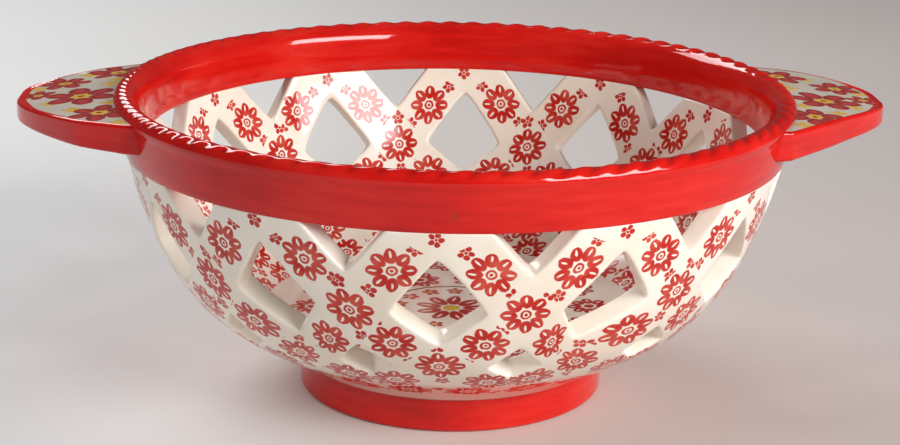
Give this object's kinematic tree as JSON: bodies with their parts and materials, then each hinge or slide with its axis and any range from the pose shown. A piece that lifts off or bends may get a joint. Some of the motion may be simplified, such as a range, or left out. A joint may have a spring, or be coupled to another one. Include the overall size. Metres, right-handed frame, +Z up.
{
  "type": "pierced bowl",
  "caption": "Round footed stoneware bowl with a diamond-pierced wall, a rope-twist lip and two flat lug handles, for fruit or bread.",
  "frame": {"origin": "on the table, at the middle of the foot ring's underside", "axes": "+Z up out of the bowl, +X towards one handle, -Y towards the side that faces the camera in the picture"},
  "size_m": [0.3292, 0.2562, 0.1177],
  "materials": {
    "red_glaze": "gloss",
    "cream_glaze": "gloss",
    "handle_glaze": "gloss"
  },
  "bodies": {
    "root": {"foot_ring": "red_glaze", "bowl_floor": "cream_glaze", "pierced_wall": "cream_glaze", "rim_band": "red_glaze", "rope_edge": "red_glaze", "handle_right": "handle_glaze", "handle_left": "handle_glaze"}
  },
  "joints": []
}
